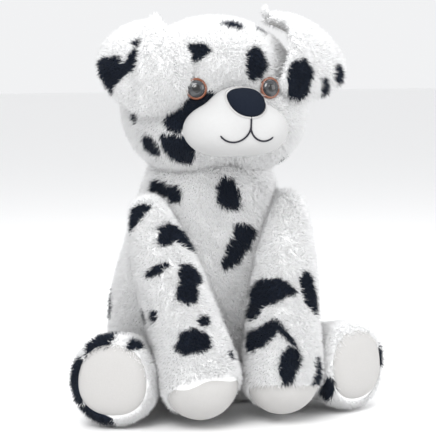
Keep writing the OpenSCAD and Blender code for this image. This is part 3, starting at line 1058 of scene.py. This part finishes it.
@dataclass
class Muzzle:
    """The short-pile muzzle with its two cheeks, chin, nose and smile.

    Attributes:
        nose: x and z of the nose's middle.
        stem: length of the stitched line from the nose's middle down to the smile.
        thread: radius of the stitched line.
    """

    nose: tuple = field(default_factory=lambda: tuple(middle_of("nose_patch")[[0, 2]] + vec(3.5, -1.5)))
    stem: float = 20.5
    thread: float = 0.8

    def form(self) -> Blob:
        """Returns the muzzle: two cheeks, a bridge and a chin that run into each other."""
        c = middle_of("muzzle_panel")
        eggs = [
            (c + vec(17, 7, -5.5), vec(29, 33, 22)), (c + vec(-17, 7, -5.5), vec(29, 33, 22)),
            (c + vec(0, 6, 7), vec(26, 33, 24)), (c + vec(0, 8, -12), vec(28, 29, 16)),
        ]
        return Blob(c + vec(0, 7.7, -3.6), eggs, 9.0)

    def line(self, x: np.ndarray, z: np.ndarray, name: str, radius: float, finish: Finish, slot: str,
             replaces: list | tuple = (), lift: float = 0.3) -> bpy.types.Object:
        """Lays a round thread on the muzzle along the points x, z, closed at both ends.

        Each ring stands square to the path, and the radius falls to nothing as the square root of
        the distance to an end.
        """
        form = self.form()
        path = form.on_front(x, z)
        inward = unit(form.centre - path)
        path = path - inward * lift
        along = unit(np.gradient(path, axis=0))
        side = unit(np.cross(along, inward))
        over = np.cross(side, along)
        sides = 10
        t = np.arange(sides) / sides * 2 * math.pi
        share = np.linspace(0, 1, len(x))
        taper = np.sqrt(np.clip(np.minimum(share, 1 - share) / 0.04, 0, 1))
        rings = (
            path[:, None, :]
            + (np.cos(t)[None, :, None] * side[:, None, :] + np.sin(t)[None, :, None] * over[:, None, :])
            * (radius * taper)[:, None, None]
        )
        points = np.vstack([rings[1:-1].reshape(-1, 3), path[:1], path[-1:]])
        rows = len(x) - 2
        r, c = np.meshgrid(np.arange(rows - 1), np.arange(sides), indexing="ij")
        a, b = (r * sides + c).ravel(), (r * sides + (c + 1) % sides).ravel()
        c = np.arange(sides)
        first, last = rows * sides, rows * sides + 1
        tris = np.vstack([
            np.stack([a, b, b + sides], 1), np.stack([a, b + sides, a + sides], 1),
            np.stack([np.full(sides, first), (c + 1) % sides, c], 1),
            np.stack([np.full(sides, last), (rows - 1) * sides + c, (rows - 1) * sides + (c + 1) % sides], 1),
        ])
        made = mesh_piece(name, points, tris.ravel(), 3, finish, "head", replaces)
        made.data.polygons.foreach_set("use_smooth", np.ones(len(tris), dtype=bool))
        return made

    def nose_edge(self, t: np.ndarray, grow: float) -> tuple:
        """Returns x and z of the nose's outline: flat on top, rounder and narrower below."""
        c, s = np.cos(t), np.sin(t)
        wide, tall = 17.5 + grow, 11.8 + grow
        x = wide * np.sign(c) * np.abs(c) ** 0.9 * (1 + 0.10 * s)
        z = tall * np.where(s > 0, 0.86, 1.08) * np.sign(s) * np.abs(s) ** 0.92
        lean = math.radians(-3)
        return (
            self.nose[0] + x * math.cos(lean) - z * math.sin(lean),
            self.nose[1] + x * math.sin(lean) + z * math.cos(lean),
        )

    def nose_patch(self) -> bpy.types.Object:
        """Makes the nose: a low cushion, its height 4.5 times the root of 1 - distance to the power 4."""
        rings, columns = 14, 64
        rho = np.linspace(0, 1, rings + 1)[1:]
        t = np.arange(columns) / columns * 2 * math.pi
        ex, ez = self.nose_edge(t, 0.0)
        x = np.append(self.nose[0], (self.nose[0] + rho[:, None] * (ex - self.nose[0])[None, :]).ravel())
        z = np.append(self.nose[1], (self.nose[1] + rho[:, None] * (ez - self.nose[1])[None, :]).ravel())
        form = self.form()
        base = form.on_front(x, z)
        out = unit(base - form.centre)
        share = np.append(0.0, np.repeat(rho, columns))
        front = base + out * (4.5 * np.sqrt(1 - share**4) - 0.6)[:, None]
        back = base - out * 1.8
        count = len(x)
        points = np.vstack([front, back])
        r, c = np.meshgrid(np.arange(rings - 1), np.arange(columns), indexing="ij")
        a, b = (1 + r * columns + c).ravel(), (1 + r * columns + (c + 1) % columns).ravel()
        c = np.arange(columns)
        cap = np.stack([np.zeros(columns, int), 1 + c, 1 + (c + 1) % columns], 1)
        sheet = np.vstack([np.stack([a, a + columns, b + columns], 1), np.stack([a, b + columns, b], 1), cap])
        rim = 1 + (rings - 1) * columns + np.arange(columns)
        rim_next = 1 + (rings - 1) * columns + (np.arange(columns) + 1) % columns
        wall = np.vstack([
            np.stack([rim, rim + count, rim_next + count], 1), np.stack([rim, rim_next + count, rim_next], 1)
        ])
        tris = np.vstack([sheet, sheet[:, ::-1] + count, wall])
        p = points[tris[: len(sheet)]]
        facing = np.sum(np.cross(p[:, 1] - p[:, 0], p[:, 2] - p[:, 0]) @ vec(0, -1, 0))
        if facing < 0:
            tris = tris[:, ::-1]
        made = mesh_piece("nose_patch_velour", points, tris.ravel(), 3, NOSE_CLOTH, "head",
                          ["nose_patch"])
        made.data.polygons.foreach_set("use_smooth", np.ones(len(tris), dtype=bool))
        return made

    def build(self) -> list:
        """Makes the muzzle's pieces and returns them."""
        made = [
            Pads.dress("muzzle_panel", self.form(), "head", MUZZLE_CLOTH, 90, 120, "short_pile"),
            self.nose_patch(),
        ]
        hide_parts("muzzle_filling")
        t = np.linspace(0, 2 * math.pi, 120)
        made.append(self.line(*self.nose_edge(t, 0.7), "nose_seam", 0.75, SEAM, "thread"))
        fork = self.nose[1] - self.stem
        stem_z = np.linspace(self.nose[1] - 12.5, fork, 24)
        stem = (np.full(24, self.nose[0]), stem_z)
        left_t = np.radians(np.linspace(0, 134, 36))
        right_t = np.radians(np.linspace(0, 147, 36))
        left = (self.nose[0] + 12.0 * (1 - np.cos(left_t)), fork - 13.0 * np.sin(left_t))
        right = (self.nose[0] - 14.5 * (1 - np.cos(right_t)), fork - 13.5 * np.sin(right_t))
        first = (np.append(left[0][::-1], stem[0][::-1]), np.append(left[1][::-1], stem[1][::-1]))
        made.append(self.line(*first, "mouth_stitching_left", self.thread, THREAD, "thread",
                              ["mouth_stitching"]))
        made.append(self.line(*right, "mouth_stitching_right", self.thread, THREAD, "thread"))
        return made


@dataclass
class Eye:
    """An eye: a dark glossy dome in a narrow brown ring.

    Attributes:
        side: LEFT or RIGHT.
        look: the direction it faces on the left side.
        dome: how far the CAD's eye stands out in front of its middle.
    """

    side: Side
    look: tuple = (0.20, -0.97, 0.10)
    dome: float = 5.7

    def word(self) -> str:
        """Returns the name of the eye's side."""
        return "left" if self.side == LEFT else "right"

    def middle(self) -> np.ndarray:
        """Returns the eye's middle, from the CAD."""
        node = "eye_" + self.word()
        x, _, z = middle_of(node)
        return vec(x, box_of(node)[0][1] + self.dome, z)

    def turned(self, name: str, profile: np.ndarray, finish: Finish, replaces: list | tuple = ()) -> bpy.types.Object:
        """Turns a profile of (radius, height) points, first and last on the axis, round the eye's axis."""
        axis = unit(mirrored(self.look, self.side))
        across = unit(np.cross(axis, UP))
        up = np.cross(across, axis)
        centre = self.middle()
        columns = 48
        t = np.arange(columns) / columns * 2 * math.pi
        r, h = profile[1:-1].T
        ring = (
            centre + h[:, None, None] * axis
            + r[:, None, None] * (np.cos(t)[None, :, None] * across + np.sin(t)[None, :, None] * up)
        )
        poles = centre + profile[[0, -1], 1][:, None] * axis
        points = np.vstack([ring.reshape(-1, 3), poles])
        rows = len(r)
        i, c = np.meshgrid(np.arange(rows - 1), np.arange(columns), indexing="ij")
        a, b = (i * columns + c).ravel(), (i * columns + (c + 1) % columns).ravel()
        c = np.arange(columns)
        last = (rows - 1) * columns
        tris = np.vstack([
            np.stack([a, a + columns, b + columns], 1), np.stack([a, b + columns, b], 1),
            np.stack([np.full(columns, rows * columns), c, (c + 1) % columns], 1),
            np.stack([np.full(columns, rows * columns + 1), last + (c + 1) % columns, last + c], 1),
        ])
        p = points[tris[-columns:]]
        facing = np.sum(np.cross(p[:, 1] - p[:, 0], p[:, 2] - p[:, 0]) @ axis)
        if facing * (profile[-1, 1] - profile[0, 1]) < 0:
            tris = tris[:, ::-1]
        made = mesh_piece(name, points, tris.ravel(), 3, finish, "head", replaces)
        made.data.polygons.foreach_set("use_smooth", np.ones(len(tris), dtype=bool))
        return made

    def build(self) -> list:
        """Makes the eye's pieces and returns them."""
        word = self.word()
        t = np.radians(np.linspace(0, 90, 12))
        rim = np.stack([8.5 + 1.0 * np.sin(t), 0.6 + 1.3 * np.cos(t)], 1)[::-1]
        ring = np.vstack([[0, -3.0], [9.2, -3.0], rim, [7.6, 1.7], [0, 1.5]])
        t = np.radians(np.linspace(90, 0, 14))
        dome = np.vstack([[0, 0.8], np.stack([7.7 * np.sin(t), 1.2 + 4.0 * np.cos(t)], 1)])
        pupil = np.vstack([[0, 2.5], [3.9, 4.2], np.stack([3.8 * np.sin(t), 4.5 + 1.0 * np.cos(t)], 1)])
        stands_for = [f"eye_{word}", f"eye_{word}_washer"]
        return [
            self.turned(f"eye_{word}_ring", ring, EYE_RING, stands_for),
            self.turned(f"eye_{word}_dome", dome, EYE_DARK, ()),
            self.turned(f"eye_{word}_pupil", pupil, EYE_PUPIL, ()),
        ]


@dataclass
class Head:
    """The wide round head.

    Attributes:
        patches: its dark patches.
    """

    patches: tuple = ()

    def form(self) -> Blob:
        """Returns the head: a wide oval with full cheeks, pressed in below by the neck."""
        c = middle_of("head_skin")
        turn = pivot("neck_turn")
        neck = Capsule((turn - UP * 3.6, turn + UP * 6.4), (60.0, 58.0))
        eggs = [
            (c + vec(0, 0, -6), vec(76.5, 69, 66)), (c + vec(31, -12, -21), vec(46, 54, 48)),
            (c + vec(-31, -12, -21), vec(46, 54, 48)), (c + vec(0, -20, 17), vec(56, 50, 41)),
        ]
        return Blob(c + vec(0, -4, -4), eggs, 12.0, dents=[neck])

    def build(self) -> list:
        """Makes the head's pieces and returns them."""
        muzzle = Muzzle().form()
        eyes = [Eye(side).middle() for side in Side]

        def bare(p: np.ndarray, n: np.ndarray) -> np.ndarray:
            """Tells which strands would cover the eyes or grow in the muzzle."""
            d = p - muzzle.centre
            hit = np.linalg.norm(d, axis=1) < muzzle.reach(unit(d)) + 1.5
            for eye in eyes:
                hit |= np.linalg.norm(p - eye, axis=1) < 9.6
            return hit

        form = self.form()
        coat = Coat("head", form, "head", self.patches, bare, (0.0, 0.25, -1.0), 6.5, 21)
        made = [coat.backing(150, 180, ["head_skin", "head_filling"])]
        made.append(coat.strands(1.45, "_face", lambda p: (p[:, 1] < -20) & (p[:, 2] < 300)))
        made.append(coat.strands(1.45, "_brow", lambda p: (p[:, 1] < -20) & (p[:, 2] >= 300)))
        made.append(coat.strands(1.2, "_back", lambda p: p[:, 1] >= -20))
        return made


@dataclass
class Ear:
    """A folded ear that hangs over the side of the head: a furry outside and a smooth lining.

    Attributes:
        side: LEFT or RIGHT.
        half: half sizes of the ball that the ear is curved over.
        outline: (turn, tilt) of each point of its edge, from the front of the root downwards.
        middle_at: (turn, tilt) of its middle.
        fold_turn: turn of the fold between its front and its back.
        patches: its dark patches.
        drop: how far the ball's middle is below the ear's joint.
    """

    side: Side
    half: tuple
    outline: tuple
    middle_at: tuple
    fold_turn: float
    patches: tuple = ()
    drop: float = 59.5

    def name(self) -> str:
        """Returns the CAD's name of this ear."""
        return "ear_left" if self.side == LEFT else "ear_right"

    def layer(self, shift: float, thick: float, inset: float) -> Flap:
        """Returns one layer of the ear, shifted outwards from its middle layer."""
        half = tuple(h + shift for h in self.half)
        centre = pivot(self.name() + "_lift") + vec(4.0 * self.side, 0, -self.drop)
        return Flap(centre, half, self.middle_at, self.outline, thick, self.side, inset, 7.0, self.fold_turn)

    def build(self) -> list:
        """Makes the ear's pieces and returns them."""
        name = self.name()
        outer = self.layer(1.2, 3.6, 0.0)
        coat = Coat(name, outer, name, self.patches, None, (0.2 * self.side, 0.1, -1.0), 6.0, 61 + self.side)

        def outside(p: np.ndarray) -> np.ndarray:
            """Tells which strands are on the outer side."""
            return np.linalg.norm((p - outer.centre) / vec(*outer.half), axis=1) > 0.985

        return [
            coat.backing(70, 110, [name + "_outer"]), coat.strands(1.5, keep=outside),
            Pads.dress(name + "_lining", self.layer(-3.6, 1.4, 0.07), name, VELOUR, 50, 90, "short_pile"),
        ]


# ---------------------------------------------------------------- markings


HEAD_PATCHES = (
    Patch("forehead", (-31, -63, 321), (25, 18), 4),
    Patch("brow", (21, -72, 314), (20, 32), 13),
    Patch("crown", (7, -48, 343), (17, 16)),
    Patch("crown_small", (33, -40, 340), (11, 14), -30),
    Patch("ear_root", (-45, -45, 330), (10, 13)),
    Patch("eye_ring", (-34, -74, 279), (44, 20), -33),
    Patch("under_eye", (-48, -70, 268), (24, 20), -20),
    Patch("cheek", (-47, -62, 242), (25, 38), -42),
    Patch("cheek_side", (-67, -46, 243), (17, 24), -10),
    Patch("cheek_ear", (-80, -36, 268), (10, 13)),
    Patch("jaw", (62, -34, 228), (18, 10), -20),
    Patch("nape", (20, 60, 300), (34, 26), 20),
    Patch("nape_low", (-24, 58, 262), (24, 32), -15),
    Patch("crown_back", (-18, 34, 344), (24, 20)),
    Patch("temple", (74, 10, 300), (20, 26), 10),
)
TORSO_PATCHES = (
    Patch("collar", (-57, -25, 205), (28, 16), 12),
    Patch("collar_low", (-43, -39, 197), (13, 18), 8),
    Patch("breast", (2, -52, 199), (21, 33), -16),
    Patch("chest_slope", (12, -52, 150), (19, 44), 40),
    Patch("chest_corner", (17, -50, 165), (26, 16), 4),
    Patch("back_high", (24, 48, 196), (32, 24), -20),
    Patch("back_mid", (-30, 70, 140), (30, 40), 15),
    Patch("back_low", (40, 84, 92), (40, 28), 25),
    Patch("rump", (-20, 98, 66), (24, 20)),
    Patch("flank", (80, 30, 120), (26, 38), -10),
    Patch("flank_right", (-80, 36, 90), (30, 24), 20),
)
FRONT_PATCHES = {
    RIGHT: (
        Patch("shoulder_edge", (-82, -40, 181), (16, 27), 18),
        Patch("vee_short", (-57, -62, 163), (14, 22), 8),
        Patch("vee_long", (-42, -58, 161), (19, 44), -34),
        Patch("elbow_small", (-72, -80, 139), (22, 9), -35),
        Patch("fore_high", (-40, -90, 136), (22, 22), 10),
        Patch("fore_low", (-46, -96, 122), (20, 26), 10),
        Patch("wrist_small", (-36, -110, 98), (14, 10), -10),
        Patch("wrist", (-47, -120, 81), (28, 24), 4),
        Patch("paw_small", (-10, -120, 71), (7, 9), 20),
        Patch("outer_high", (-76, -88, 99), (11, 12), 0),
        Patch("outer_low", (-84, -66, 93), (14, 14)),
    ),
    LEFT: (
        Patch("fore_large", (22, -90, 117), (42, 28), -8),
        Patch("fore_large_low", (14, -82, 104), (22, 30), 38),
        Patch("outer", (70, -98, 116), (18, 42), 6),
        Patch("heart_left", (6, -100, 78), (24, 22), -30),
        Patch("heart_right", (17, -110, 84), (20, 32), 42),
        Patch("streak", (34, -121, 84), (6, 30), -40),
        Patch("paw", (34, -132, 60), (18, 34), 12),
        Patch("paw_outer", (60, -122, 44), (16, 34), 20),
    ),
}
HIND_PATCHES = {
    RIGHT: (
        Patch("rim_top", (-120, -78, 80), (46, 20), -26, 14),
        Patch("rim_inner", (-92, -92, 76), (14, 12), 30, 10),
        Patch("rim_outer", (-144, -72, 40), (24, 48), 12, 16),
        Patch("rim_low", (-128, -82, 8), (34, 18), 35, 14),
    ),
    LEFT: (
        Patch("rim_outer", (141, -74, 50), (8, 22), 0, 12),
        Patch("rim_inner", (82, -97, 26), (12, 28), 14, 14),
    ),
}
EAR_PATCHES = {
    RIGHT: (
        Patch("tip", (-103, -38, 302), (44, 38), 0, 20),
        Patch("fold", (-82, -54, 307), (13, 26), 12, 20),
        Patch("high", (-76, -50, 330), (11, 8), 10, 20),
    ),
    LEFT: (
        Patch("lobe", (59, -72, 300), (23, 37), 0, 25),
        Patch("tip", (101, -52, 303), (18, 20), 12, 25),
        Patch("edge", (86, -62, 287), (9, 9)),
    ),
}
EARS = (
    Ear(
        RIGHT, (58, 60, 56),
        ((4, 62), (-13, 34), (-13, 12), (-8, -6), (8, -15), (28, -16), (48, -4), (66, 12), (84, 28),
         (106, 42), (140, 60), (-170, 84), (30, 84)),
        (36, 26), 30.0, EAR_PATCHES[RIGHT],
    ),
    Ear(
        LEFT, (69, 60, 63),
        ((12, 62), (3, 34), (-5, 14), (-6, 3), (6, -4), (28, -2), (50, 6), (72, 14), (90, 21),
         (104, 42), (140, 60), (-170, 84), (30, 84)),
        (38, 28), 17.0, EAR_PATCHES[LEFT],
    ),
)


# ---------------------------------------------------------------- studio


class Studio:
    """The floor, the lights and the camera."""

    TARGET = vec(-1.7, -35.0, 174.0)
    AZIMUTH = -16.0
    ELEVATION = 7.3
    DISTANCE = 1400.0
    LENS = 128.3

    def build(self) -> None:
        """Makes the floor, lights, world and camera."""
        self.floor()
        self.camera()
        self.light("key", (-500, -900, 1000), 700, 13.0)
        self.light("fill", (900, -700, 500), 800, 5.0)
        self.light("top", (0, 300, 1100), 900, 5.5)
        world = bpy.data.worlds.new("studio")
        world.use_nodes = True
        world.node_tree.nodes["Background"].inputs["Color"].default_value = (0.93, 0.935, 0.945, 1.0)
        world.node_tree.nodes["Background"].inputs["Strength"].default_value = 0.95
        bpy.context.scene.world = world
        bpy.context.scene.view_settings.view_transform = "Standard"

    def camera(self) -> None:
        """Makes the camera and makes it the scene's."""
        a, e = math.radians(self.AZIMUTH), math.radians(self.ELEVATION)
        back = Vector((math.sin(a) * math.cos(e), -math.cos(a) * math.cos(e), math.sin(e)))
        data = bpy.data.cameras.new("camera")
        data.lens = self.LENS
        data.sensor_width = 36.0
        made = bpy.data.objects.new("camera", data)
        made.location = (Vector(self.TARGET) + back * self.DISTANCE) * MM
        made.rotation_mode = "QUATERNION"
        made.rotation_quaternion = back.to_track_quat("Z", "Y")
        bpy.context.scene.collection.objects.link(made)
        bpy.context.scene.camera = made

    def light(self, name: str, place: tuple, size: float, power: float) -> None:
        """Makes a square lamp that faces the puppy."""
        data = bpy.data.lights.new(name, "AREA")
        data.energy = power
        data.size = size * MM
        made = bpy.data.objects.new(name, data)
        made.location = Vector(place) * MM
        made.rotation_mode = "QUATERNION"
        made.rotation_quaternion = (Vector(place) * MM - Vector((0, 0, 0.17))).to_track_quat("Z", "Y")
        bpy.context.scene.collection.objects.link(made)

    def floor(self) -> None:
        """Makes a wide pale floor."""
        half = 6.0
        corners = [(-half, -half, 0), (half, -half, 0), (half, half, 0), (-half, half, 0)]
        mesh = bpy.data.meshes.new("floor")
        mesh.from_pydata(corners, [], [(0, 1, 2, 3)])
        material = bpy.data.materials.new("floor")
        material.use_nodes = True
        shader = material.node_tree.nodes["Principled BSDF"]
        shader.inputs["Base Color"].default_value = (0.93, 0.93, 0.93, 1)
        shader.inputs["Roughness"].default_value = 0.7
        mesh.materials.append(material)
        made = bpy.data.objects.new("floor", mesh)
        bpy.context.scene.collection.objects.link(made)


def main() -> None:
    """Builds the puppy and reports each piece."""
    Studio().build()
    front = [FrontLeg(side, patches=FRONT_PATCHES[side]) for side in (LEFT, RIGHT)]
    hind = [HindLeg(side, patches=HIND_PATCHES[side]) for side in (LEFT, RIGHT)]
    groups = [
        Torso([leg.limb() for leg in front + hind], TORSO_PATCHES), Head(HEAD_PATCHES), Muzzle(),
        Eye(LEFT), Eye(RIGHT), *EARS, *front, *hind, Tail(),
    ]
    for group in groups:
        for made in group.build():
            log.info("%s: %d faces", made.name, len(made.data.polygons))
    neck = frame["nodes"]["neck_filling"]
    neck.data.materials.clear()
    neck.data.materials.append(BACKING.material())


if __name__ == "__main__":
    main()
